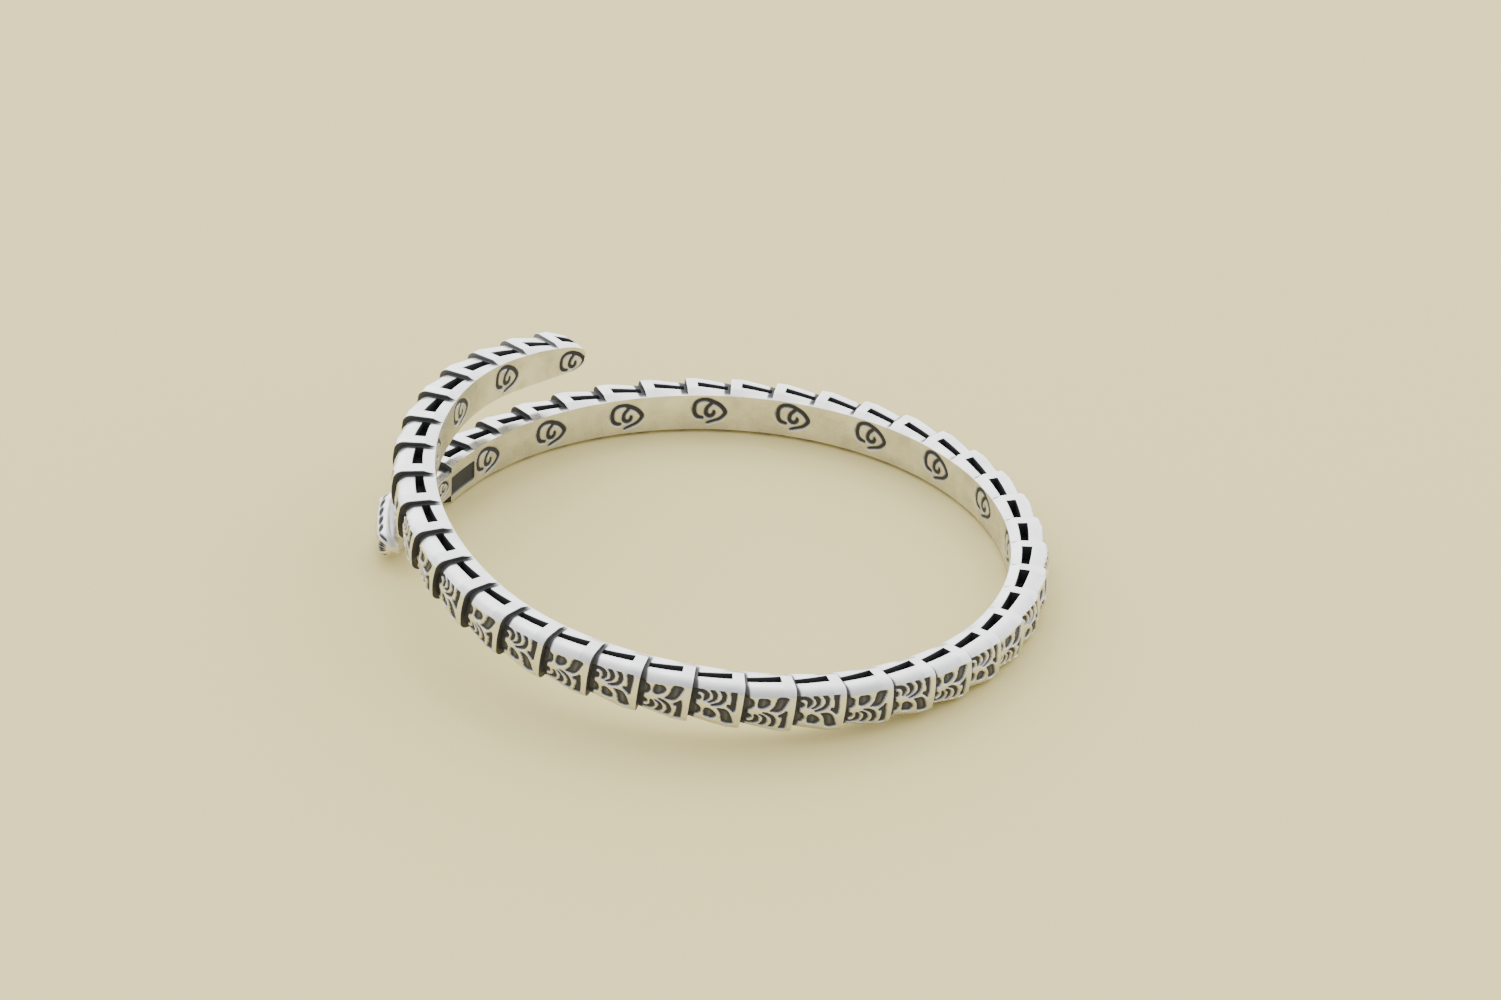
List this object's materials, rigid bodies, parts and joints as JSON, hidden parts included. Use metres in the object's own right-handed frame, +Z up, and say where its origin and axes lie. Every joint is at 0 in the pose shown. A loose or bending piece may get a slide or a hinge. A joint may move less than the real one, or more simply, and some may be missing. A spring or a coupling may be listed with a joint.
{
  "type": "snake bypass cuff bracelet",
  "caption": "Open bypass cuff bracelet in the form of a snake: funnel shaped scales with edge slots, a raised tail over the neck and a blunt flat head.",
  "frame": {"origin": "under the middle of the cuff's bounding box, on the surface that it lies on", "axes": "+Z up and parallel to the wrist axis, +Y towards the back of the cuff, the head and tail on the -X side"},
  "size_m": [0.0686, 0.0672, 0.0144],
  "materials": {
    "silver": "cast silver, polished on the high places and dark with oxide in the slots, steps and relief"
  },
  "bodies": {
    "root": {"cuff": "silver"}
  },
  "joints": []
}
